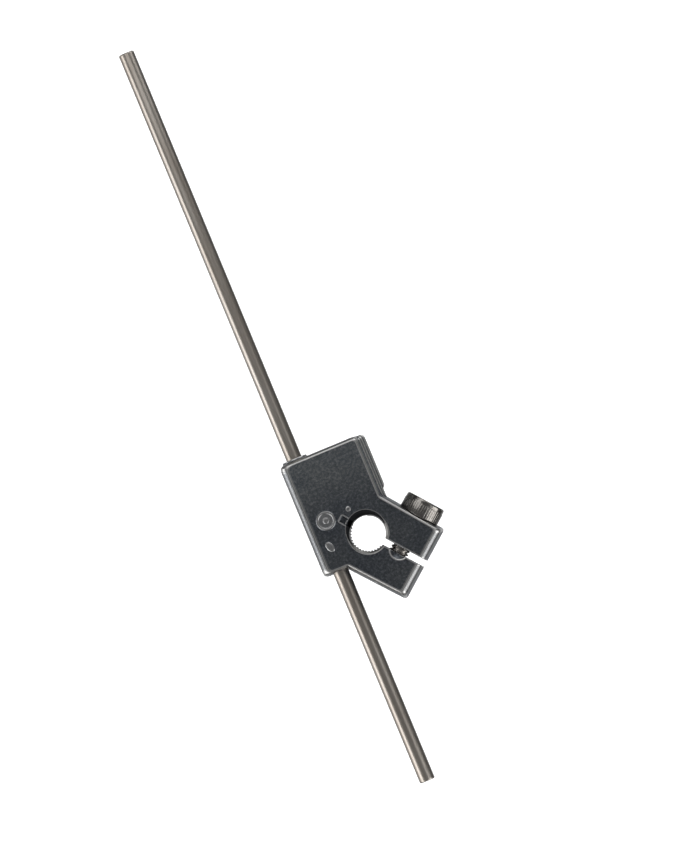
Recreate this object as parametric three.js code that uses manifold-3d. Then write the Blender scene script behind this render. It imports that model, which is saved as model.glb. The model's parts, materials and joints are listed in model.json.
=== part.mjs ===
// Rod probe: a plain round rod locked in a die-cast holder with a split clamp.
//
// Frame, in millimetres: the clamp bore's axis is Z and the holder's back face is z = 0.
// The rod runs along Y. The clamp arm leaves the holder at ARM_ANGLE, in the XY plane.
import * as THREE from 'three';
import * as BufferGeometryUtils from 'three/addons/utils/BufferGeometryUtils.js';
import Module from 'manifold-3d';

const wasm = await Module();
wasm.setup();

// ---------------------------------------------------------------- driving dimensions

const THICKNESS = 9; // holder, back face to front face
const MID_Z = THICKNESS / 2;
const REACH = 1; // how far a cutter runs past the face it opens

const rod = { diameter: 3.2, length: 157.1, x: -7.98, z: 4.85, lowEndY: -50, chamfer: 0.25, sides: 32 };
const channelClearance = 0.05;

// The block that holds the rod. Each side gives its outermost line, at the back, how far it
// leans in by the front face (draft), and how wide the rounding of its front edge is.
const body = {
  left: { out: -11.54, draft: 0.2, round: 1.5 },
  right: { out: 5.55, draft: 0.4, round: 0.4 },
  bottom: { out: -4.85, draft: 0.15, round: 0.5 },
  top: { out: 19.1, draft: 0.15, round: 0.6 },
};
// The arm, in its own frame: u along it from the bore's axis, v across it.
const ARM_ANGLE = THREE.MathUtils.degToRad(-51);
const arm = {
  tip: { out: 12.88, draft: 0.35, round: 1.4 },
  flank: { draft: 0.45, round: 0.5 },
  centreV: 0.02,
  halfWidth: 8.26, // at the bore
  taper: 0.02, // what each flank leans in for each millimetre along the arm
};
const frontEdge = 1.5; // height of the front edges' rounding
const backEdge = 0.4; // height and width of the back edges' rounding
const cornerRadius = { bottomLeft: 1, lowerRoot: 0.6, tip: 0.7, upperRoot: 1.2, topRight: 0.9, topLeft: 1.3 };

// Flat ledges that step the right wall out towards the back: x reached, and z of the ledge.
const ledges = [
  { out: 5.7, high: 6.9, lowY: 4.1, topGap: 0.5 },
  { out: 6.12, high: 4.8, lowY: 4, topGap: 0.35 },
  { out: 6.62, high: 2.7, lowY: 7.2, topGap: 0.2 },
];
const ledgeRound = 0.2;
const ledgeCorners = { root: 0.1, foot: 0.3, top: 0.9, slant: 0.6 }; // in the outline, seen from the front
const collar = { lowRadius: 2.9, highRadius: 2.5, height: 0.3 }; // where the rod leaves the top

const bore = {
  tipRadius: 3.36, // of the teeth
  rootRadius: 3.8,
  plainRadius: 3.55,
  teeth: 36, // how many would go round the whole bore
  chamfer: 0.6,
  mouthRadius: 4.05,
  chamferFoot: 3.25, // inside the teeth, so that the chamfer runs out through them
};
const toothed = { from: THREE.MathUtils.degToRad(134), to: THREE.MathUtils.degToRad(296) };
// The part of the bore above the notch has no teeth and stands back a little.
const relief = { radius: 3.7, from: THREE.MathUtils.degToRad(70), to: THREE.MathUtils.degToRad(129) };

// A steep round hollow, off the bore's axis, that opens the relief out towards the front face.
const hollow = { radius: 3.85, floorRadius: 2.95, x: -0.12, y: 0.84, depth: 3.7 };

const slot = { width: 1.33, centreV: 0.095, startU: 2 };
const notch = { endU: -6.25, width: 1.3, floorDepth: 2, innerEndU: -4.8, innerDepth: 4, startU: -2 };
const dish = { radius: 1.95, floorRadius: 0.8, depth: 0.9 }; // in the lower jaw, beside the screw

// Raised cast marks on the front face.
const button = {
  x: -6.8,
  y: 5.5,
  radius: 2.1,
  topRadius: 1.9,
  height: 0.25,
  grooveRadius: 1.5,
  grooveDepth: 0.15,
  dotRadius: 0.55, // left standing in the middle of the groove
};
const pad = { x: -8, y: 0.4, radius: 1, topRadius: 0.85, height: 0.15, narrow: 0.75, long: 1.25, turn: 20 };
const pip = { x: -1.8, y: 6, radius: 0.55, topRadius: 0.45, height: 0.08 };
const markRoot = 0.4; // how deep a mark's foot stands in the block

const screw = {
  u: 7.05,
  majorRadius: 2,
  minorRadius: 1.65,
  tipRadius: 1.35,
  pitch: 0.7,
  crest: 0.1, // share of the pitch that is flat at the thread's crest
  length: 14,
  headRadius: 4.18,
  headHeight: 3.7,
  knurlHeight: 2.7,
  knurlFoot: 0.15,
  knurls: 44,
  knurlDepth: 0.12,
  topChamfer: 0.4,
  socketFlats: 3,
  socketDepth: 1.6,
  seatGap: 0.05,
  shankSides: 24,
};
const seat = { v: 7.5, radius: 4.4 }; // the flat spot that the head bears on
const clearanceRadius = 2.25;
const tappedRadius = 2.05;

const setScrew = {
  y: 12,
  radius: 1.95,
  length: 3,
  flats: 2,
  socketDepth: 1.4,
  sunk: 0.15,
  holeRadius: 2,
  cupDepth: 0.5,
  cupRim: 1.05,
  flatRim: 1.45,
  chamfer: 0.3,
};

const SIDES = 32; // facets round a hole or a screw
const QUARTER_TURN = Math.PI / 2;

// ---------------------------------------------------------------- solids from geometry

// A closed three.js geometry as a manifold solid, for joining and cutting.
function solid(geometry) {
  const bare = geometry.clone();
  bare.deleteAttribute('normal');
  bare.deleteAttribute('uv');
  const merged = BufferGeometryUtils.mergeVertices(bare, 1e-5);
  return new wasm.Manifold(new wasm.Mesh({
    numProp: 3,
    vertProperties: new Float32Array(merged.attributes.position.array),
    triVerts: new Uint32Array(merged.index.array),
  }));
}

// A manifold solid back as a three.js geometry.
function toGeometry(shape) {
  const mesh = shape.getMesh();
  const geometry = new THREE.BufferGeometry();
  geometry.setAttribute('position', new THREE.BufferAttribute(new Float32Array(mesh.vertProperties), 3));
  geometry.setIndex(new THREE.BufferAttribute(new Uint32Array(mesh.triVerts), 1));
  geometry.computeVertexNormals();
  return geometry;
}

// The points of an outline through the given corners, each { x, y, r } rounded with radius r.
function roundedPoints(corners, steps = 5) {
  const points = [];
  corners.forEach((corner, i) => {
    const here = new THREE.Vector2(corner.x, corner.y);
    const before = corners[(i + corners.length - 1) % corners.length];
    const after = corners[(i + 1) % corners.length];
    const toBefore = new THREE.Vector2(before.x, before.y).sub(here).normalize();
    const toAfter = new THREE.Vector2(after.x, after.y).sub(here).normalize();
    const halfAngle = Math.acos(toBefore.dot(toAfter)) / 2;
    const run = corner.r / Math.tan(halfAngle);
    const start = here.clone().addScaledVector(toBefore, run);
    const end = here.clone().addScaledVector(toAfter, run);
    points.push(...new THREE.QuadraticBezierCurve(start, here, end).getPoints(steps));
  });
  return points;
}

// A solid through outlines with equal numbers of points, each { z, points }, lowest first.
function loft(outlines) {
  const vertices = [];
  const triangles = [];
  for (const outline of outlines) {
    for (const point of outline.points) {
      vertices.push(point.x, point.y, outline.z);
    }
  }
  const count = outlines[0].points.length;
  for (let ring = 0; ring + 1 < outlines.length; ring += 1) {
    addRingSides(triangles, ring * count, count);
  }
  const last = (outlines.length - 1) * count;
  for (const [a, b, c] of THREE.ShapeUtils.triangulateShape(outlines[0].points, [])) {
    triangles.push(a, c, b);
  }
  for (const [a, b, c] of THREE.ShapeUtils.triangulateShape(outlines[outlines.length - 1].points, [])) {
    triangles.push(last + a, last + b, last + c);
  }
  return indexedGeometry(vertices, triangles);
}

// The triangles between a ring of count vertices from first on, and the next ring.
function addRingSides(triangles, first, count) {
  for (let i = 0; i < count; i += 1) {
    const a = first + i;
    const b = first + ((i + 1) % count);
    triangles.push(a, b, b + count, a, b + count, a + count);
  }
}

function indexedGeometry(vertices, triangles) {
  const geometry = new THREE.BufferGeometry();
  geometry.setAttribute('position', new THREE.Float32BufferAttribute(vertices, 3));
  geometry.setIndex(triangles);
  return geometry;
}

// A box given by its lowest and highest corners.
function box(low, high) {
  const size = high.map((value, i) => value - low[i]);
  const centre = high.map((value, i) => (value + low[i]) / 2);
  return new THREE.BoxGeometry(...size).translate(...centre);
}

// A round bar or cone along Y, from y = low to y = high.
function barY(lowRadius, highRadius, low, high, sides = SIDES) {
  const geometry = new THREE.CylinderGeometry(highRadius, lowRadius, high - low, sides);
  return geometry.translate(0, (low + high) / 2, 0);
}

// The same along Z.
function barZ(lowRadius, highRadius, low, high, sides = SIDES) {
  const geometry = new THREE.CylinderGeometry(highRadius, lowRadius, high - low, sides);
  return geometry.rotateX(QUARTER_TURN).translate(0, 0, (low + high) / 2);
}

// A hexagonal socket cutter along Y whose open end is at y = mouth.
function hexSocket(flats, depth, mouth) {
  const cornerRadius = flats / 2 / Math.cos(Math.PI / 6);
  return barY(cornerRadius, cornerRadius, mouth - depth, mouth + REACH, 6);
}

// A number of angles, evenly round a full turn.
function evenAngles(count) {
  return Array.from({ length: count }, (_, i) => (2 * Math.PI * i) / count);
}

// A stack of polar rings along Z, closed at both ends. Each level is { z, grow }, and
// radiusAt(angle) gives the ring's radius before grow is added.
function polarStack(levels, angles, radiusAt) {
  const vertices = [];
  const triangles = [];
  const count = angles.length;
  for (const level of levels) {
    for (const angle of angles) {
      const radius = radiusAt(angle) + level.grow;
      vertices.push(radius * Math.cos(angle), radius * Math.sin(angle), level.z);
    }
  }
  for (let ring = 0; ring + 1 < levels.length; ring += 1) {
    addRingSides(triangles, ring * count, count);
  }
  const lowCentre = vertices.length / 3;
  vertices.push(0, 0, levels[0].z);
  vertices.push(0, 0, levels[levels.length - 1].z);
  const highCentre = lowCentre + 1;
  const lastRing = (levels.length - 1) * count;
  for (let i = 0; i < count; i += 1) {
    const next = (i + 1) % count;
    triangles.push(lowCentre, next, i);
    triangles.push(highCentre, lastRing + i, lastRing + next);
  }
  return indexedGeometry(vertices, triangles);
}

// ---------------------------------------------------------------- clamp holder

// A point given along the arm (u) and across it (v), in the XY plane.
function armPoint(u, v) {
  return new THREE.Vector2(u, v).rotateAround(new THREE.Vector2(0, 0), ARM_ANGLE);
}

// How far a side stands in from its outermost line at height z.
function insetAt(side, z) {
  const rounding = (share) => 1 - Math.sqrt(Math.max(0, 1 - share * share));
  const front = Math.max(0, (z - THICKNESS + frontEdge) / frontEdge);
  const back = Math.max(0, (backEdge - z) / backEdge);
  return (side.draft * z) / THICKNESS + side.round * rounding(front) + backEdge * rounding(back);
}

// The rod block and the arm, seen from the front, counter-clockwise, at height z.
function holderOutline(z) {
  const left = body.left.out + insetAt(body.left, z);
  const right = body.right.out - insetAt(body.right, z);
  const bottom = body.bottom.out + insetAt(body.bottom, z);
  const top = body.top.out - insetAt(body.top, z);
  const tipU = arm.tip.out - insetAt(arm.tip, z);
  const flankInset = insetAt(arm.flank, z);
  // A point on one of the arm's flanks: side is 1 for the upper and -1 for the lower.
  const onFlank = (u, side) => armPoint(u, arm.centreV + side * (arm.halfWidth - arm.taper * u - flankInset));
  // Where a flank, which is straight, meets a wall that lies at wall along the given axis.
  const flankMeets = (side, axis, wall) => {
    const atZero = onFlank(0, side)[axis];
    const atOne = onFlank(1, side)[axis];
    return onFlank((wall - atZero) / (atOne - atZero), side);
  };
  const lowerRoot = flankMeets(-1, 'y', bottom);
  const lowerTip = onFlank(tipU, -1);
  const upperTip = onFlank(tipU, 1);
  const upperRoot = flankMeets(1, 'x', right);
  return roundedPoints([
    { x: left, y: bottom, r: cornerRadius.bottomLeft },
    { x: lowerRoot.x, y: lowerRoot.y, r: cornerRadius.lowerRoot },
    { x: lowerTip.x, y: lowerTip.y, r: cornerRadius.tip },
    { x: upperTip.x, y: upperTip.y, r: cornerRadius.tip },
    { x: upperRoot.x, y: upperRoot.y, r: cornerRadius.upperRoot },
    { x: right, y: top, r: cornerRadius.topRight },
    { x: left, y: top, r: cornerRadius.topLeft },
  ]);
}

// Heights at which an edge's rounding is stepped, from its foot to the flat face.
function edgeSteps(height, steps) {
  const heights = [];
  for (let i = 0; i <= steps; i += 1) {
    heights.push(height * Math.sin((QUARTER_TURN * i) / steps));
  }
  return heights;
}

function holderBlank() {
  const backHeights = edgeSteps(backEdge, 3).map((h) => backEdge - h).reverse();
  const frontHeights = edgeSteps(frontEdge, 8).map((h) => THICKNESS - frontEdge + h);
  return solid(loft([...backHeights, ...frontHeights].map((z) => ({ z, points: holderOutline(z) }))));
}

// One step of the right wall, with a rounded outer end and a low round along its front edge.
function wallLedge({ out, high, lowY, topGap }) {
  const { root, foot, top, slant } = ledgeCorners;
  const topY = body.top.out - topGap;
  const outline = (inset) => roundedPoints([
    { x: 0, y: lowY, r: root },
    { x: out - slant - inset, y: lowY + inset, r: root },
    { x: out - inset, y: lowY + slant + inset, r: foot },
    { x: out - inset, y: topY - inset, r: top },
    { x: 0, y: topY - inset, r: root },
  ]);
  return solid(loft([
    { z: ledgeRound, points: outline(ledgeRound / 2) },
    { z: 2 * ledgeRound, points: outline(0) },
    { z: high - ledgeRound, points: outline(0) },
    { z: high, points: outline(ledgeRound) },
  ]));
}

// A low round mark that stands out of the front face.
function castMark(mark) {
  return barZ(mark.radius, mark.topRadius, THICKNESS - markRoot, THICKNESS + mark.height);
}

// A plain button with a ring-shaped groove, an oval pad and a pip.
function castMarks() {
  const { grooveRadius, grooveDepth, dotRadius } = button;
  const floor = THICKNESS + button.height - grooveDepth;
  const groove = solid(barZ(grooveRadius, grooveRadius, floor, THICKNESS + REACH))
    .subtract(solid(barZ(dotRadius, dotRadius, floor - REACH, THICKNESS + 2 * REACH)));
  const grooved = solid(castMark(button)).subtract(groove).translate([button.x, button.y, 0]);
  const oval = castMark(pad)
    .scale(pad.narrow, pad.long, 1)
    .rotateZ(THREE.MathUtils.degToRad(pad.turn))
    .translate(pad.x, pad.y, 0);
  return grooved.add(solid(oval)).add(solid(castMark(pip).translate(pip.x, pip.y, 0)));
}

// The bore: teeth on the side away from the arm, plain beside the slot, and the relief.
function boreCutter() {
  const isWithin = (angle, sector) => angle > sector.from && angle < sector.to;
  const radiusAt = (angle) => {
    if (isWithin(angle, relief)) {
      return relief.radius;
    }
    if (isWithin(angle, toothed)) {
      return Math.round((angle * bore.teeth) / Math.PI) % 2 === 0 ? bore.tipRadius : bore.rootRadius;
    }
    return bore.plainRadius;
  };
  const through = [{ z: -REACH, grow: 0 }, { z: THICKNESS + REACH, grow: 0 }];
  const rimSides = 2 * bore.teeth;
  const frontMouth = barZ(bore.chamferFoot, bore.mouthRadius, THICKNESS - bore.chamfer, THICKNESS, rimSides);
  const backMouth = barZ(bore.mouthRadius, bore.chamferFoot, 0, bore.chamfer, rimSides);
  const slope = (hollow.radius - hollow.floorRadius) / hollow.depth;
  const mouthHigh = THICKNESS + REACH / 2;
  const mouthRadius = hollow.radius + (slope * REACH) / 2;
  const cone = barZ(hollow.floorRadius, mouthRadius, THICKNESS - hollow.depth, mouthHigh, 2 * SIDES);
  const rim = (low) => barZ(bore.mouthRadius, bore.mouthRadius, low, low + REACH, rimSides);
  return solid(polarStack(through, evenAngles(2 * bore.teeth), radiusAt))
    .add(solid(frontMouth))
    .add(solid(backMouth))
    .add(solid(rim(THICKNESS)))
    .add(solid(rim(-REACH)))
    .add(solid(cone.translate(hollow.x, hollow.y, 0)));
}

// A cutter drawn in the arm's own frame, turned to where the arm lies.
function inArm(geometry) {
  return solid(geometry.rotateZ(ARM_ANGLE));
}

// The slot between the jaws and the stepped notch across the bore from it.
function slotAndNotch() {
  const gapLow = slot.centreV - slot.width / 2;
  const above = THICKNESS + REACH;
  const gap = inArm(box([slot.startU, gapLow, -REACH], [arm.tip.out + REACH, gapLow + slot.width, above]));
  const half = notch.width / 2;
  const pocket = (endU, depth) => inArm(box([endU, -half, THICKNESS - depth], [notch.startU, half, above]));
  return gap.add(pocket(notch.endU, notch.floorDepth)).add(pocket(notch.innerEndU, notch.innerDepth));
}

// A shallow round dish in the front face, cut off at the slot so that it lies in the lower jaw.
function jawDish() {
  const slope = (dish.radius - dish.floorRadius) / dish.depth;
  const bowl = barZ(dish.floorRadius, dish.radius + slope * REACH, THICKNESS - dish.depth, THICKNESS + REACH);
  const upperHalf = box([-dish.radius - REACH, 0, 0], [dish.radius + REACH, 2 * dish.radius, 2 * THICKNESS]);
  const half = solid(bowl).subtract(solid(upperHalf));
  const degrees = THREE.MathUtils.radToDeg(ARM_ANGLE);
  return half.translate([screw.u, slot.centreV, 0]).rotate([0, 0, degrees]);
}

// The clamp screw's holes: a flat seat and clearance in the upper jaw, thread in the lower.
function clampScrewHoles() {
  const outside = arm.halfWidth + REACH;
  const inSlot = slot.width / 4;
  const clearance = barY(clearanceRadius, clearanceRadius, slot.centreV - inSlot, outside);
  const tapped = barY(tappedRadius, tappedRadius, -outside, slot.centreV + inSlot);
  const flatSpot = barY(seat.radius, seat.radius, seat.v, seat.v + REACH, 2 * SIDES);
  return inArm(clearance.translate(screw.u, 0, MID_Z))
    .add(inArm(tapped.translate(screw.u, 0, MID_Z)))
    .add(inArm(flatSpot.translate(screw.u, 0, MID_Z)));
}

// The rod's channel, right through the block, and the set screw's hole into it.
function rodHoles() {
  const radius = rod.diameter / 2 + channelClearance;
  const channel = barY(radius, radius, body.bottom.out - REACH, body.top.out + 2 * REACH, rod.sides);
  const setHole = barZ(setScrew.holeRadius, setScrew.holeRadius, -REACH, rod.z);
  return solid(channel.translate(rod.x, 0, rod.z)).add(solid(setHole.translate(rod.x, setScrew.y, 0)));
}

function clampHolder() {
  const top = body.top.out;
  const rodCollar = barY(collar.lowRadius, collar.highRadius, top - REACH, top + collar.height);
  let holder = holderBlank().add(solid(rodCollar.translate(rod.x, 0, rod.z)));
  for (const ledge of ledges) {
    holder = holder.add(wallLedge(ledge));
  }
  holder = holder.add(castMarks());
  for (const cutter of [boreCutter(), slotAndNotch(), jawDish(), clampScrewHoles(), rodHoles()]) {
    holder = holder.subtract(cutter);
  }
  return toGeometry(holder);
}

// ---------------------------------------------------------------- rod and screws

function probeRod() {
  const radius = rod.diameter / 2;
  const high = rod.lowEndY + rod.length;
  const profile = [
    new THREE.Vector2(0, rod.lowEndY),
    new THREE.Vector2(radius - rod.chamfer, rod.lowEndY),
    new THREE.Vector2(radius, rod.lowEndY + rod.chamfer),
    new THREE.Vector2(radius, high - rod.chamfer),
    new THREE.Vector2(radius - rod.chamfer, high),
    new THREE.Vector2(0, high),
  ];
  return new THREE.LatheGeometry(profile, rod.sides);
}

// The clamp screw in its own frame: the head's seat at y = 0, the head above it.
function clampScrew() {
  const shank = [new THREE.Vector2(0, -screw.length), new THREE.Vector2(screw.tipRadius, -screw.length)];
  const turns = Math.floor(screw.length / screw.pitch) - 1;
  const start = -screw.length + screw.minorRadius - screw.tipRadius;
  const inHead = screw.knurlHeight / 4; // where the shank ends, inside the head
  for (let i = 0; i <= turns; i += 1) {
    const y = start + i * screw.pitch;
    shank.push(new THREE.Vector2(screw.minorRadius, y));
    shank.push(new THREE.Vector2(screw.majorRadius, y + ((1 - screw.crest) / 2) * screw.pitch));
    shank.push(new THREE.Vector2(screw.majorRadius, y + ((1 + screw.crest) / 2) * screw.pitch));
  }
  shank.push(new THREE.Vector2(screw.minorRadius, start + (turns + 1) * screw.pitch));
  shank.push(new THREE.Vector2(screw.minorRadius, inHead));
  shank.push(new THREE.Vector2(0, inHead));

  const knurlLevels = [
    { z: 0, grow: -screw.knurlFoot }, // the foot is chamfered
    { z: screw.knurlFoot, grow: 0 },
    { z: screw.knurlHeight, grow: 0 },
  ];
  const knurlRadius = (angle) => {
    const isValley = Math.round((angle * screw.knurls) / Math.PI) % 2 === 1;
    return isValley ? screw.headRadius - screw.knurlDepth : screw.headRadius;
  };
  const knurled = polarStack(knurlLevels, evenAngles(2 * screw.knurls), knurlRadius).rotateX(-QUARTER_TURN);
  // The plain band above the knurl starts a little inside it, so that no faces coincide.
  const bandRadius = screw.headRadius - screw.knurlDepth;
  const bandFoot = screw.knurlHeight - screw.knurlFoot;
  const cap = new THREE.LatheGeometry([
    new THREE.Vector2(0, bandFoot),
    new THREE.Vector2(bandRadius - screw.knurlDepth, bandFoot),
    new THREE.Vector2(bandRadius, screw.knurlHeight + screw.knurlDepth),
    new THREE.Vector2(bandRadius, screw.headHeight - screw.topChamfer),
    new THREE.Vector2(bandRadius - screw.topChamfer, screw.headHeight),
    new THREE.Vector2(0, screw.headHeight),
  ], 2 * SIDES);
  const socket = hexSocket(screw.socketFlats, screw.socketDepth, screw.headHeight);
  const whole = solid(new THREE.LatheGeometry(shank, screw.shankSides))
    .add(solid(knurled))
    .add(solid(cap))
    .subtract(solid(socket));
  return toGeometry(whole);
}

// The set screw in its own frame: its outer face at y = 0, its cup point below it.
function rodSetScrew() {
  const r = setScrew.radius;
  const end = -setScrew.length;
  const profile = [
    new THREE.Vector2(0, end + setScrew.cupDepth),
    new THREE.Vector2(setScrew.cupRim, end),
    new THREE.Vector2(setScrew.flatRim, end),
    new THREE.Vector2(r, end + r - setScrew.flatRim),
    new THREE.Vector2(r, -setScrew.chamfer),
    new THREE.Vector2(r - setScrew.chamfer, 0),
    new THREE.Vector2(0, 0),
  ];
  const blank = solid(new THREE.LatheGeometry(profile, SIDES));
  return toGeometry(blank.subtract(solid(hexSocket(setScrew.flats, setScrew.socketDepth, 0))));
}

// ---------------------------------------------------------------- assembly

function part(name, geometry, finish) {
  const mesh = new THREE.Mesh(geometry, new THREE.MeshStandardMaterial(finish));
  mesh.name = name;
  return mesh;
}

const DIE_CAST = { color: 0x4a4d52, roughness: 0.5, metalness: 0.8 };
const STAINLESS = { color: 0x9a948c, roughness: 0.3, metalness: 1 };
const SCREW_STEEL = { color: 0x5f5c58, roughness: 0.35, metalness: 1 };
const BLACK_STEEL = { color: 0x2c2c2e, roughness: 0.5, metalness: 1 };

const assembly = new THREE.Group();

assembly.add(part('clamp_holder', clampHolder(), DIE_CAST));

const rodMesh = part('probe_rod', probeRod(), STAINLESS);
rodMesh.position.set(rod.x, 0, rod.z);
assembly.add(rodMesh);

// The arm's own frame: X along the arm, Y out through the upper jaw.
const armFrame = new THREE.Group();
armFrame.rotation.z = ARM_ANGLE;
const clampScrewMesh = part('clamp_screw', clampScrew(), SCREW_STEEL);
clampScrewMesh.position.set(screw.u, seat.v + screw.seatGap, MID_Z);
armFrame.add(clampScrewMesh);
assembly.add(armFrame);

// The set screw's axis is turned so that its socket opens on the back face.
const setScrewMesh = part('rod_set_screw', rodSetScrew(), BLACK_STEEL);
setScrewMesh.rotation.x = -QUARTER_TURN;
setScrewMesh.position.set(rod.x, setScrew.y, setScrew.sunk);
assembly.add(setScrewMesh);

export default assembly;
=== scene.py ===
"""Looks for the rod probe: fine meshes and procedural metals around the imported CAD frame."""

import json
import math

import bpy
import numpy as np
from mathutils import Matrix, Vector


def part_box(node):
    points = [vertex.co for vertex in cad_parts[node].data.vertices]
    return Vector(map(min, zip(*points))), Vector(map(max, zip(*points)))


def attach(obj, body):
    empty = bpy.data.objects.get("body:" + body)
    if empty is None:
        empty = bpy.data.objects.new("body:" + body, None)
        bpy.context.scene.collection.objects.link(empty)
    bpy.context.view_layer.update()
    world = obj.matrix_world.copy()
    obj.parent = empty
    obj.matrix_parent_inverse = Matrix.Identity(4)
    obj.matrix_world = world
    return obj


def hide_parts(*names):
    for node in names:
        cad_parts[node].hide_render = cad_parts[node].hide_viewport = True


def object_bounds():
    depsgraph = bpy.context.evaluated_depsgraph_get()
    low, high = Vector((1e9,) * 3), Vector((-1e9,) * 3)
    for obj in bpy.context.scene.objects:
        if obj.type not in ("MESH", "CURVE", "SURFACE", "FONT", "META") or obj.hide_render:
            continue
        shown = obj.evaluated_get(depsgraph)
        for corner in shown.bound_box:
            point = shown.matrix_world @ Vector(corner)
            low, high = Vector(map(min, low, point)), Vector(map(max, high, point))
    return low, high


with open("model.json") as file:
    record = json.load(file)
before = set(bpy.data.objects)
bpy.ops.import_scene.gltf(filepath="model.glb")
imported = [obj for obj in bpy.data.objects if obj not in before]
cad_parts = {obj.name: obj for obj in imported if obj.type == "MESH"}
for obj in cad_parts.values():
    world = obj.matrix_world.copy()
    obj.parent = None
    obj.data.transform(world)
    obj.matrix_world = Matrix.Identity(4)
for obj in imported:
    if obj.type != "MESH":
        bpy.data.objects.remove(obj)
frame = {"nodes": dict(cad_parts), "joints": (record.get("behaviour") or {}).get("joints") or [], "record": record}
cad_low, cad_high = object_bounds()

MM = 0.001  # everything is in metres, but for the values that say otherwise
TURN = 2 * math.pi

# ---------------------------------------------------------------- places from the frame

joints = {joint["name"]: joint for joint in frame["joints"]}
mounts = {mount["name"]: mount for mount in frame["record"]["mounts"]}
front_z = mounts["front_face"]["pos_m"][2]
bore_front = Vector((0, 0, front_z))
rod_low, rod_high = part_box("probe_rod")
rod_axis = (rod_low + rod_high) / 2
rod_radius = (rod_high.z - rod_low.z) / 2
clamp_axis = Vector(joints["clamp_screw_turn"]["axis"])
clamp_seat = Vector(joints["clamp_screw_turn"]["pos_m"])
set_axis = Vector(joints["set_screw_turn"]["axis"])
set_low, set_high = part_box("rod_set_screw")

# ---------------------------------------------------------------- camera, floor and light

VIEW_HEIGHT = 0.1718  # what the picture's height takes in, at the holder's front face
CAMERA_DISTANCE = 2.0
VIEW_ACROSS = math.radians(1.03)  # the camera stands a little to the arm's side of the bore's axis
VIEW_ALONG = math.radians(-1.5)  # and a little towards the rod's short end
VIEW_ROLL = math.radians(22.53)  # the rod leans left in the picture
AIM_RIGHT = -0.005169  # the picture's middle, from the bore, along the picture's sides
AIM_UP = 0.020159
SENSOR = 36  # the camera's sensor, in mm


def make_camera():
    """Looks straight down on the front face, but for two small tilts."""
    back = Vector((math.tan(VIEW_ACROSS), math.tan(VIEW_ALONG), 1)).normalized()
    across = Vector((0, 1, 0)).cross(back).normalized()
    along = back.cross(across)
    right = across * math.cos(VIEW_ROLL) - along * math.sin(VIEW_ROLL)
    up = across * math.sin(VIEW_ROLL) + along * math.cos(VIEW_ROLL)
    data = bpy.data.cameras.new("camera")
    data.sensor_width = SENSOR
    data.lens = SENSOR * CAMERA_DISTANCE / VIEW_HEIGHT
    camera = bpy.data.objects.new("camera", data)
    bpy.context.scene.collection.objects.link(camera)
    target = bore_front + right * AIM_RIGHT + up * AIM_UP
    turned = camera.matrix_world.to_3x3()
    for i, axis in enumerate((right, up, back)):
        turned.col[i] = axis
    camera.matrix_world = turned.to_4x4()
    camera.location = target + back * CAMERA_DISTANCE
    bpy.context.scene.camera = camera


FLOOR_DROP = 0.2  # the floor lies well below, so that it is seen bright through the bore and the slot
FLOOR_SIDE = 6
FLOOR_COLOR = (0.93, 0.93, 0.93, 1)
FLOOR_ROUGHNESS = 0.9


def make_floor():
    """A plain pale sheet. The metal doesn't mirror it: the sky has a pale patch for that."""
    bpy.ops.mesh.primitive_plane_add(size=FLOOR_SIDE, location=(0, 0, cad_low.z - FLOOR_DROP))
    floor = bpy.context.object
    floor.name = "floor"
    floor.visible_glossy = False
    material = bpy.data.materials.new("floor_paper")
    material.use_nodes = True
    shader = material.node_tree.nodes["Principled BSDF"]
    shader.inputs["Base Color"].default_value = FLOOR_COLOR
    shader.inputs["Roughness"].default_value = FLOOR_ROUGHNESS
    floor.data.materials.append(material)


# Each softbox's name, azimuth and elevation in degrees, distance, width, height and brightness.
SOFTBOXES = [
    ("left_box", 180, 14, 0.6, 0.8, 0.36, 1.95),
    ("left_low_box", 180, -22, 0.6, 0.8, 0.26, 0.5),
    ("right_box", -20, 50, 0.6, 0.5, 0.16, 0.5),
    ("jaw_box", 45, 12, 0.6, 0.45, 0.3, 1.6),
    ("arm_box", -51, 20, 0.6, 0.5, 0.4, 2.0),
    ("top_box", 92, 50, 0.6, 0.5, 0.4, 1.05),
    ("low_box", 219, 22, 0.7, 0.5, 0.36, 1.3),
]
FLOOR_BOX = ("floor_box", 0, 90, 2.6, 1.8, 1.8, 8.0)
# The sky's grey at heights from 0, straight below, to 1, straight above.
SKY = [(0.0, 0.5), (0.1, 0.4), (0.2, 0.08), (0.6, 0.09), (1.0, 0.17)]


def add_softbox(name, azimuth, elevation, distance, width, height, brightness):
    """A rectangular light aimed at the holder. Azimuth is counted from +X towards +Y, and
    brightness is what a perfect mirror would show of it."""
    data = bpy.data.lights.new(name, "AREA")
    data.shape = "RECTANGLE"
    data.size = width
    data.size_y = height
    data.energy = brightness * math.pi * width * height
    light = bpy.data.objects.new(name, data)
    a = math.radians(azimuth)
    e = math.radians(elevation)
    towards = Vector((math.cos(a) * math.cos(e), math.sin(a) * math.cos(e), math.sin(e)))
    light.location = bore_front + towards * distance
    light.rotation_mode = "QUATERNION"
    light.rotation_quaternion = towards.to_track_quat("Z", "Y")
    bpy.context.scene.collection.objects.link(light)
    return light


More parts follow.
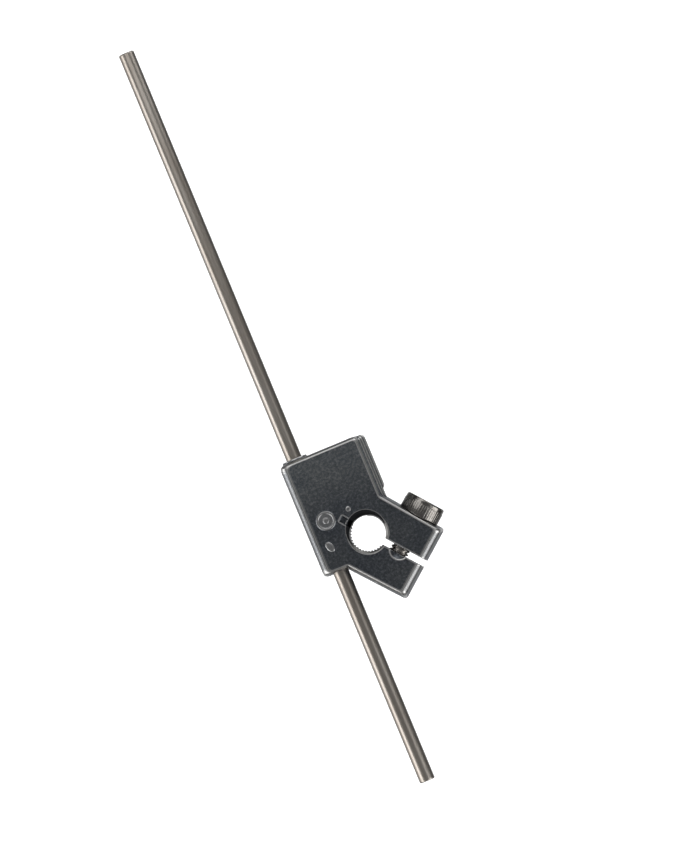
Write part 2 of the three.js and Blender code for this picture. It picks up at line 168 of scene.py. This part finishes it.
def make_sky():
    """A dim dome, very slightly blue, with a pale patch straight below as a table's mirror image."""
    world = bpy.data.worlds.new("studio")
    world.use_nodes = True
    tree = world.node_tree
    place = tree.nodes.new("ShaderNodeTexCoord")
    parts = tree.nodes.new("ShaderNodeSeparateXYZ")
    ramp = tree.nodes.new("ShaderNodeValToRGB")
    elements = ramp.color_ramp.elements
    while len(elements) < len(SKY):
        elements.new(0.5)
    for element, (height, grey) in zip(elements, SKY):
        element.position = height
        element.color = (grey, grey * 1.01, grey * 1.03, 1)
    raised = tree.nodes.new("ShaderNodeMapRange")
    raised.inputs["From Min"].default_value = -1
    tree.links.new(place.outputs["Generated"], parts.inputs["Vector"])
    tree.links.new(parts.outputs["Z"], raised.inputs["Value"])
    tree.links.new(raised.outputs["Result"], ramp.inputs["Fac"])
    tree.links.new(ramp.outputs["Color"], tree.nodes["Background"].inputs["Color"])
    bpy.context.scene.world = world


def make_light():
    """Softboxes round the part, and one over the floor that the metal doesn't mirror."""
    for softbox in SOFTBOXES:
        add_softbox(*softbox)
    over_floor = add_softbox(*FLOOR_BOX)
    over_floor.visible_glossy = False
    make_sky()
    bpy.context.scene.view_settings.view_transform = "Standard"


# ---------------------------------------------------------------- materials

BORE_SKIN = 4.15  # mm from the bore's axis, where the cut chamfer ends and the cast skin starts
HOLLOW = (-0.12, 0.84, 3.86)  # centre and rim radius of the steep hollow beside the bore, in mm
HOLLOW_FROM = (3.72, 3.86)  # mm from the bore's axis, where the hollow's wall starts and is full
FINE_BUMP = 0.02 * MM
COARSE_BUMP = 0.04 * MM

# Colours are linear. A list holds stops: where the noise stands, and the colour there.
DIE_CAST_SKIN = [
    (0.34, (0.082, 0.092, 0.103)),
    (0.5, (0.122, 0.134, 0.147)),
    (0.66, (0.225, 0.238, 0.253)),
]
DIE_CAST_CLOUD = [(0.35, (0.88, 0.89, 0.92)), (0.65, (1.12, 1.1, 1.08))]
# Painted light: how much lighter the casting is painted towards its far end.
DIE_CAST_END_PAINTED_LIGHT = (1.7, 1.68, 1.62)
# Partly real edge wear, partly a painted highlight on the rounded edges.
WORN_EDGE_AND_HIGHLIGHT = (0.82, 0.81, 0.79)
CUT_ZINC = (0.24, 0.236, 0.228)
RUBBED_MARK = (0.42, 0.42, 0.42)
# Painted shade for the recessed hollow beside the bore.
HOLLOW_PAINTED_SHADE = (0.03, 0.032, 0.035)
STAINLESS = [(0.3, (0.47, 0.415, 0.36)), (0.7, (0.6, 0.555, 0.5))]
SCREW_FILM = [(0.3, (0.22, 0.205, 0.187)), (0.7, (0.4, 0.382, 0.36))]
# Painted light: the thread's lighter colour, standing in for light the slot keeps off it.
SCREW_THREAD_PAINTED_LIGHT = (0.78, 0.75, 0.71)
BLACK_OXIDE = [(0.3, (0.022, 0.022, 0.024)), (0.75, (0.075, 0.07, 0.062))]


class Nodes:
    """Short calls for building one material's node tree."""

    def __init__(self, name):
        self.material = bpy.data.materials.new(name)
        self.material.use_nodes = True
        self.tree = self.material.node_tree
        self.shader = self.tree.nodes["Principled BSDF"]

    def add(self, kind, **values):
        node = self.tree.nodes.new(kind)
        for key, value in values.items():
            setattr(node, key, value)
        return node

    def link(self, source, target):
        self.tree.links.new(source, target)

    def place(self, scale=(1, 1, 1)):
        """The piece's own coordinates, in millimetres, stretched by scale."""
        coordinates = self.add("ShaderNodeTexCoord")
        mapping = self.add("ShaderNodeMapping")
        mapping.inputs["Scale"].default_value = [s / MM for s in scale]
        self.link(coordinates.outputs["Object"], mapping.inputs["Vector"])
        return mapping.outputs["Vector"]

    def coordinate(self, axis):
        """The place along X, Y or Z, in millimetres."""
        parts = self.add("ShaderNodeSeparateXYZ")
        self.link(self.place(), parts.inputs["Vector"])
        return parts.outputs[axis]

    def noise(self, vector, scale, detail=4.0, roughness=0.55):
        node = self.add("ShaderNodeTexNoise")
        node.inputs["Scale"].default_value = scale
        node.inputs["Detail"].default_value = detail
        node.inputs["Roughness"].default_value = roughness
        self.link(vector, node.inputs["Vector"])
        return node.outputs["Fac"]

    def ramp(self, value, stops):
        node = self.add("ShaderNodeValToRGB")
        elements = node.color_ramp.elements
        while len(elements) < len(stops):
            elements.new(0.5)
        for element, (position, color) in zip(elements, stops):
            element.position = position
            element.color = (*color, 1)
        self.link(value, node.inputs["Fac"])
        return node.outputs["Color"]

    def mix(self, factor, a, b, blend="MIX"):
        node = self.add("ShaderNodeMix", data_type="RGBA", blend_type=blend)
        for socket, value in ((node.inputs[0], factor), (node.inputs[6], a), (node.inputs[7], b)):
            if isinstance(value, bpy.types.NodeSocket):
                self.link(value, socket)
            elif isinstance(value, tuple):
                socket.default_value = (*value, 1)
            else:
                socket.default_value = value
        return node.outputs[2]

    def span(self, value, low, high):
        """A 0 to 1 value carried onto low to high."""
        node = self.add("ShaderNodeMapRange")
        node.inputs["To Min"].default_value = low
        node.inputs["To Max"].default_value = high
        self.link(value, node.inputs["Value"])
        return node.outputs["Result"]

    def ease(self, value, zero_at, one_at):
        """0 at zero_at and beyond it, 1 at one_at and beyond it, and a smooth rise between."""
        node = self.add("ShaderNodeMapRange", interpolation_type="SMOOTHSTEP")
        node.inputs["From Min"].default_value = zero_at
        node.inputs["From Max"].default_value = one_at
        self.link(value, node.inputs["Value"])
        return node.outputs["Result"]

    def math(self, operation, a, b, clamp=False):
        node = self.add("ShaderNodeMath", operation=operation, use_clamp=clamp)
        for socket, value in zip(node.inputs, (a, b)):
            if isinstance(value, bpy.types.NodeSocket):
                self.link(value, socket)
            else:
                socket.default_value = value
        return node.outputs["Value"]

    def bump(self, height, distance, strength, before=None):
        node = self.add("ShaderNodeBump")
        node.inputs["Distance"].default_value = distance
        node.inputs["Strength"].default_value = strength
        self.link(height, node.inputs["Height"])
        if before is not None:
            self.link(before, node.inputs["Normal"])
        return node.outputs["Normal"]


def cut_metal(n):
    """1 in the clamp bore and on its chamfer, where the cast skin has been cut away."""
    distance = n.add("ShaderNodeVectorMath", operation="LENGTH")
    n.link(n.place((1, 1, 0)), distance.inputs[0])
    return n.ease(distance.outputs["Value"], BORE_SKIN, BORE_SKIN - 0.15)


def hollow_shade(n):
    """1 on the steep wall beside the bore, which is painted dark as painted shade."""
    centre_x, centre_y, rim = HOLLOW
    flat_place = n.place((1, 1, 0))
    from_hollow = n.add("ShaderNodeVectorMath", operation="DISTANCE")
    n.link(flat_place, from_hollow.inputs[0])
    from_hollow.inputs[1].default_value = (centre_x, centre_y, 0)
    from_bore = n.add("ShaderNodeVectorMath", operation="LENGTH")
    n.link(flat_place, from_bore.inputs[0])
    inside = n.ease(from_hollow.outputs["Value"], rim + 0.25, rim + 0.05)
    return n.math("MULTIPLY", inside, n.ease(from_bore.outputs["Value"], *HOLLOW_FROM))


def painted_end_light(n):
    """Rises from 0 at the bore to 1 at the block's far end, where the casting is painted lighter: painted light.
    """
    return n.ease(n.coordinate("Y"), 2, 22)


def raised_marks(n):
    """Up to 0.75 on the tops of the cast marks, which handling has rubbed lighter."""
    top = front_z / MM
    return n.math("MULTIPLY", n.ease(n.coordinate("Z"), top + 0.04, top + 0.12), 0.75)


def die_cast_material():
    """Bare die-cast zinc: dark blue-grey, mottled, with a fine sandy skin and brighter edges, partly worn and
    partly a painted highlight; painted light towards the far end, and painted shade in the hollow beside the bore.
    """
    n = Nodes("die_cast_zinc")
    place = n.place()
    cloud = n.noise(place, 0.12, 2, 0.5)
    mottle = n.noise(place, 1.9, 6, 0.72)
    grain = n.noise(place, 6.0, 2, 0.6)
    base = n.ramp(mottle, DIE_CAST_SKIN)
    tone = n.ramp(cloud, DIE_CAST_CLOUD)
    base = n.mix(1.0, base, tone, "MULTIPLY")
    # painted light: the front face painted lighter towards the block's far end
    base = n.mix(painted_end_light(n), base, n.mix(1.0, base, DIE_CAST_END_PAINTED_LIGHT, "MULTIPLY"))
    wear_and_highlight_map = n.add("ShaderNodeAttribute", attribute_name="wear_and_highlight")
    wear_and_highlight = n.math("MULTIPLY", wear_and_highlight_map.outputs["Fac"], n.span(grain, 0.55, 1.25), clamp=True)
    # real wear and painted highlight: rounded edges lightened by how far they bend
    base = n.mix(wear_and_highlight, base, WORN_EDGE_AND_HIGHLIGHT)
    base = n.mix(cut_metal(n), base, CUT_ZINC)
    base = n.mix(raised_marks(n), base, RUBBED_MARK)
    hollow = hollow_shade(n)
    # painted shade: the hollow beside the bore darkened
    n.link(n.mix(hollow, base, HOLLOW_PAINTED_SHADE), n.shader.inputs["Base Color"])
    n.shader.inputs["Metallic"].default_value = 1.0
    roughness = n.math("SUBTRACT", n.span(mottle, 0.32, 0.44), n.math("MULTIPLY", wear_and_highlight, 0.1))
    roughness = n.math("MAXIMUM", roughness, n.math("MULTIPLY", hollow, 0.9))
    n.link(roughness, n.shader.inputs["Roughness"])
    fine = n.bump(grain, FINE_BUMP, 0.45)
    n.link(n.bump(mottle, COARSE_BUMP, 0.3, fine), n.shader.inputs["Normal"])
    return n.material


def rod_material():
    """Drawn stainless: warm grey, with faint lines along the rod."""
    n = Nodes("drawn_stainless")
    lines = n.noise(n.place((3, 0.04, 3)), 1.0, 4, 0.6)
    stain = n.noise(n.place((0.6, 0.05, 0.6)), 1.0, 3, 0.5)
    base = n.ramp(stain, STAINLESS)
    n.link(base, n.shader.inputs["Base Color"])
    n.shader.inputs["Metallic"].default_value = 1.0
    n.link(n.span(lines, 0.27, 0.38), n.shader.inputs["Roughness"])
    n.link(n.bump(lines, FINE_BUMP, 0.35), n.shader.inputs["Normal"])
    return n.material


def screw_material():
    """Plain steel with a darker mottled film, and its thread below the head painted lighter as painted light,
    where the slot shades it.
    """
    n = Nodes("screw_steel")
    place = n.place()
    film = n.noise(place, 0.9, 4, 0.6)
    scratch = n.noise(place, 9.0, 2, 0.5)
    base = n.ramp(film, SCREW_FILM)
    along = n.add("ShaderNodeVectorMath", operation="DOT_PRODUCT")
    n.link(place, along.inputs[0])
    along.inputs[1].default_value = clamp_axis
    thread_painted_light = n.ease(along.outputs["Value"], -0.1, -0.4)
    # painted light: the thread below the head painted lighter
    n.link(n.mix(thread_painted_light, base, SCREW_THREAD_PAINTED_LIGHT), n.shader.inputs["Base Color"])
    n.shader.inputs["Metallic"].default_value = 1.0
    n.link(n.span(film, 0.12, 0.22), n.shader.inputs["Roughness"])
    n.link(n.bump(scratch, FINE_BUMP, 0.3), n.shader.inputs["Normal"])
    return n.material


def black_steel_material():
    """Black-oxide steel, with the brown cast of worn oxide."""
    n = Nodes("black_oxide_steel")
    film = n.noise(n.place(), 1.6, 4, 0.6)
    base = n.ramp(film, BLACK_OXIDE)
    n.link(base, n.shader.inputs["Base Color"])
    n.shader.inputs["Metallic"].default_value = 0.9
    n.link(n.span(film, 0.35, 0.5), n.shader.inputs["Roughness"])
    n.link(n.bump(film, FINE_BUMP, 0.4), n.shader.inputs["Normal"])
    return n.material


# ---------------------------------------------------------------- mesh helpers

def new_piece(name, vertices, faces, material):
    mesh = bpy.data.meshes.new(name)
    mesh.from_pydata(vertices, [], faces)
    mesh.validate()
    mesh.shade_smooth()
    piece = bpy.data.objects.new(name, mesh)
    bpy.context.scene.collection.objects.link(piece)
    piece.data.materials.append(material)
    return piece


def turned_shape(levels, sides):
    """Vertices and faces of a closed shape turned about Z. A level is a function of the angle
    that gives (radius, height); the first and last levels close on the axis."""
    vertices = []
    for level in levels:
        for i in range(sides):
            angle = TURN * i / sides
            radius, height = level(angle)
            vertices.append((radius * math.cos(angle), radius * math.sin(angle), height))
    faces = []
    for row in range(len(levels) - 1):
        low = row * sides
        high = low + sides
        for i in range(sides):
            after = (i + 1) % sides
            faces.append((low + i, low + after, high + after, high + i))
    first_centre = len(vertices)
    vertices.append((0, 0, levels[0](0)[1]))
    vertices.append((0, 0, levels[-1](0)[1]))
    last = (len(levels) - 1) * sides
    for i in range(sides):
        after = (i + 1) % sides
        faces.append((first_centre, after, i))
        faces.append((first_centre + 1, last + i, last + after))
    return vertices, faces


def ring(radius, height):
    """A plain round level."""
    return lambda angle: (radius, height)


def hexagon(flats, height):
    """A six-sided level, flats wide."""
    def level(angle):
        offset = (angle % (TURN / 6)) - TURN / 12
        return (flats / 2 / math.cos(offset), height)
    return level


def mouth_radius(flats):
    """The round countersink that just clears a hexagon socket's corners."""
    return flats / 2 / math.cos(TURN / 12) + 0.08 * MM


CREST = 1.45  # a thread's ridge, over 1 where its crest is cut flat
FLANK = 3.6  # and how steeply its flanks fall over a pitch
RUN_OUT = 0.7  # pitches over which a thread fades out at its ends


def clip(value):
    return min(1.0, max(0.0, value))


def thread(height, pitch, major, minor, low, high):
    """A level through a helical thread that runs out at its low and high ends."""
    def level(angle):
        phase = (height / pitch - angle / TURN) % 1.0
        rise = clip(CREST - abs(phase - 0.5) * FLANK)
        fade = clip((height - low) / (RUN_OUT * pitch))
        fade *= clip((high - height) / (RUN_OUT * pitch))
        return (minor + (major - minor) * rise * fade, height)
    return level


def put_along(piece, seat, axis):
    """Stands a piece made about +Z on a seat point, with its axis turned to axis."""
    turn = axis.to_track_quat("Z", "Y").to_matrix().to_4x4()
    piece.data.transform(turn)
    piece.location = seat


# ---------------------------------------------------------------- pieces

# Outward bend, in one over millimetres, where an edge starts to show wear and a painted highlight, and where both
# are full.
WEAR_AND_HIGHLIGHT_FROM = 0.2
WEAR_AND_HIGHLIGHT_FULL = 0.75
# Sharper edges are narrow and stand in the die's own corners, so less of their skin is rubbed off, and they get
# less of the painted highlight.
SHARP_FROM = 1.5
SHARP_FULL = 4
SHARP_LOSS = 0.75

CLAMP = {
    "major": 2 * MM,
    "minor": 1.62 * MM,
    "pitch": 0.7 * MM,
    "length": 14 * MM,
    "neck": 1.2 * MM,  # from the thread's end to the head
    "head_radius": 4.15 * MM,
    "head_height": 3.7 * MM,
    "head_corner": 0.42 * MM,
    "knurl_depth": 0.05 * MM,
    "knurl_height": 2.7 * MM,
    "knurls": 44,
    "flats": 3 * MM,
    "socket_depth": 1.6 * MM,
}
CLAMP_THREAD_ROWS = 128
CORNER_STEPS = 6
SIDES_PER_KNURL = 8
GROOVE_POWER = 6  # the higher, the narrower a knurl's groove
HEAD_SEAT = -0.53 * MM  # from the clamp screw's joint out to its head's underside


def knurl(radius, depth, count, height):
    """A level through straight knurling: wide ridges of the head's own round, and narrow grooves."""
    def level(angle):
        groove = max(0.0, math.cos(angle * count)) ** GROOVE_POWER
        return (radius - depth * groove, height)
    return level


def clamp_shank(s):
    """Levels from the screw's tip up its thread and plain neck to the head's underside."""
    tip = -s["length"]
    minor = s["minor"]
    low = tip + 0.25 * MM
    high = -s["neck"]
    levels = [ring(minor - 0.35 * MM, tip), ring(minor - 0.3 * MM, tip + 0.02 * MM)]
    for i in range(CLAMP_THREAD_ROWS + 1):
        height = low + (high - low) * i / CLAMP_THREAD_ROWS
        levels.append(thread(height, s["pitch"], s["major"], minor, low, high))
    levels.append(ring(minor + 0.1 * MM, -0.7 * MM))
    levels.append(ring(minor + 0.15 * MM, 0))
    return levels


def clamp_knurling(s):
    """Levels up the head's side, from its bevelled underside to the end of the knurling."""
    radius = s["head_radius"]
    depth = s["knurl_depth"]
    top = s["knurl_height"]
    levels = [ring(radius - 0.45 * MM, 0.0), ring(radius - 0.3 * MM, 0.03 * MM)]
    levels.append(knurl(radius - 0.08 * MM, depth * 0.6, s["knurls"], 0.16 * MM))
    for share in (0.15, 0.5, 0.93):
        levels.append(knurl(radius, depth, s["knurls"], top * share + 0.05 * MM))
    levels.append(knurl(radius - 0.05 * MM, depth * 0.7, s["knurls"], top))
    return levels


def clamp_crown(s):
    """Levels up the plain band over the knurling and round the head's top corner."""
    collar = s["head_radius"] - s["knurl_depth"] - 0.02 * MM
    top = s["head_height"]
    corner = s["head_corner"]
    levels = [ring(collar, s["knurl_height"] + 0.08 * MM), ring(collar - 0.01 * MM, top - 0.5 * MM)]
    for i in range(CORNER_STEPS):
        angle = math.radians(15 * i + 7)
        rise = corner * math.sin(angle)
        levels.append(ring(collar - corner * (1 - math.cos(angle)), top - corner + rise))
    levels.append(ring(collar - 0.75 * MM, top))
    return levels


def clamp_socket(s):
    """Levels down into the head's hexagon socket and its drilled bottom."""
    flats = s["flats"]
    top = s["head_height"]
    bottom = top - s["socket_depth"]
    mouth = mouth_radius(flats)
    return [
        ring(mouth + 0.05 * MM, top - 0.01 * MM),
        ring(mouth, top - 0.05 * MM),
        hexagon(flats, top - 0.3 * MM),
        hexagon(flats, bottom + 0.1 * MM),
        hexagon(flats * 0.94, bottom),
        ring(0.2 * MM, bottom - 0.5 * MM),
    ]


def clamp_screw():
    levels = clamp_shank(CLAMP) + clamp_knurling(CLAMP) + clamp_crown(CLAMP) + clamp_socket(CLAMP)
    shape = turned_shape(levels, CLAMP["knurls"] * SIDES_PER_KNURL)
    piece = new_piece("clamp_screw_fine", *shape, screw_material())
    put_along(piece, clamp_seat + clamp_axis * HEAD_SEAT, clamp_axis)
    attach(piece, "clamp_bolt")
    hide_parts("clamp_screw")


SET_THREAD_DEPTH = 0.35 * MM
SET_PITCH = 0.7 * MM
SET_FLATS = 2 * MM
SET_SOCKET = 1.4 * MM
SET_THREAD_ROWS = 44
ROUND_SIDES = 96


def rod_set_screw():
    """A headless screw, made from its cup point up to its socket's end at height 0."""
    length = set_high.z - set_low.z
    radius = (set_high.x - set_low.x) / 2
    minor = radius - SET_THREAD_DEPTH
    low = -length + 0.15 * MM
    high = -0.1 * MM
    levels = [
        ring(0.3 * MM, -length + 0.5 * MM),
        ring(radius - 0.9 * MM, -length),
        ring(radius - 0.55 * MM, -length + 0.02 * MM),
    ]
    for i in range(SET_THREAD_ROWS + 1):
        height = low + (high - low) * i / SET_THREAD_ROWS
        levels.append(thread(height, SET_PITCH, radius, minor, low - 0.3 * MM, high + 0.2 * MM))
    levels += [
        ring(minor - 0.05 * MM, -0.02 * MM),
        ring(minor - 0.15 * MM, 0),
        ring(mouth_radius(SET_FLATS), 0),
        hexagon(SET_FLATS, -0.15 * MM),
        hexagon(SET_FLATS, -SET_SOCKET + 0.05 * MM),
        hexagon(SET_FLATS * 0.9, -SET_SOCKET),
        ring(0.1 * MM, -SET_SOCKET - 0.25 * MM),
    ]
    shape = turned_shape(levels, ROUND_SIDES)
    piece = new_piece("rod_set_screw_fine", *shape, black_steel_material())
    middle = (set_low + set_high) / 2
    put_along(piece, Vector((middle.x, middle.y, set_low.z)), set_axis)
    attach(piece, "grub")
    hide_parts("rod_set_screw")


ROD_ROUND = 0.3 * MM
ROD_ROUND_STEPS = 4


def rod_end(end, direction):
    """Levels round one end's corner, from its flat face outwards along direction."""
    levels = [
        ring(rod_radius * 0.5, end),
        ring(rod_radius - ROD_ROUND - 0.05 * MM, end),
    ]
    for i in range(ROD_ROUND_STEPS + 1):
        angle = math.radians(90 * i / ROD_ROUND_STEPS)
        inset = ROD_ROUND * (1 - math.sin(angle))
        rise = direction * ROD_ROUND * (1 - math.cos(angle))
        levels.append(ring(rod_radius - inset, end + rise))
    return levels


def probe_rod():
    levels = rod_end(rod_low.y, 1) + rod_end(rod_high.y, -1)[::-1]
    piece = new_piece("probe_rod_fine", *turned_shape(levels, ROUND_SIDES), rod_material())
    put_along(piece, Vector((rod_axis.x, 0, rod_axis.z)), Vector((0, 1, 0)))
    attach(piece, "rod")
    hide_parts("probe_rod")


HOLDER_VOXEL = 0.085  # mm
SMOOTHINGS = 2


def apply_modifier(piece, kind, **values):
    modifier = piece.modifiers.new(kind.lower(), kind)
    for key, value in values.items():
        setattr(modifier, key, value)
    bpy.context.view_layer.objects.active = piece
    bpy.ops.object.modifier_apply(modifier=modifier.name)


def mark_wear_and_highlight(mesh, spacing):
    """Stores on each vertex how worn its skin is, 0 to 1, from how far it bends outwards; the same value also
    paints a highlight on the rounded edges. The mesh and its vertex spacing are in millimetres."""
    count = len(mesh.vertices)
    places = np.empty(count * 3)
    normals = np.empty(count * 3)
    pairs = np.empty(len(mesh.edges) * 2, dtype=np.int32)
    mesh.vertices.foreach_get("co", places)
    mesh.vertices.foreach_get("normal", normals)
    mesh.edges.foreach_get("vertices", pairs)
    places = places.reshape(-1, 3)
    normals = normals.reshape(-1, 3)
    first, second = pairs.reshape(-1, 2).T
    neighbours = np.bincount(first, minlength=count) + np.bincount(second, minlength=count)

    def around(values):
        total = np.bincount(first, values[second], count) + np.bincount(second, values[first], count)
        return total / neighbours

    middles = np.stack([around(places[:, i]) for i in range(3)], axis=1)
    bend = ((places - middles) * normals).sum(axis=1) * 4 / spacing ** 2
    for _ in range(3):
        bend = (bend + around(bend)) / 2
    # partly real edge wear, partly a painted highlight on the rounded edges
    wear_and_highlight = np.clip((bend - WEAR_AND_HIGHLIGHT_FROM) / (WEAR_AND_HIGHLIGHT_FULL - WEAR_AND_HIGHLIGHT_FROM), 0, 1)
    wear_and_highlight *= 1 - SHARP_LOSS * np.clip((bend - SHARP_FROM) / (SHARP_FULL - SHARP_FROM), 0, 1)
    attribute = mesh.attributes.new("wear_and_highlight", "FLOAT", "POINT")
    attribute.data.foreach_set("value", wear_and_highlight)


def clamp_holder():
    """The casting: the CAD solid remeshed finely, its edges softened as a die leaves them."""
    source = frame["nodes"]["clamp_holder"]
    mesh = source.data.copy()
    mesh.materials.clear()
    piece = bpy.data.objects.new("clamp_holder_fine", mesh)
    bpy.context.scene.collection.objects.link(piece)
    # Worked in millimetres, where the remesher is at home, then brought back.
    mesh.transform(Matrix.Scale(1 / MM, 4))
    voxel = HOLDER_VOXEL
    apply_modifier(piece, "REMESH", mode="VOXEL", voxel_size=voxel, adaptivity=0.0)
    apply_modifier(piece, "SMOOTH", factor=0.5, iterations=SMOOTHINGS)
    mark_wear_and_highlight(piece.data, voxel)
    piece.data.transform(Matrix.Scale(MM, 4))
    piece.data.shade_smooth()
    piece.data.materials.append(die_cast_material())
    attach(piece, "holder")
    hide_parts("clamp_holder")


make_camera()
make_floor()
make_light()
clamp_holder()
probe_rod()
clamp_screw()
rod_set_screw()
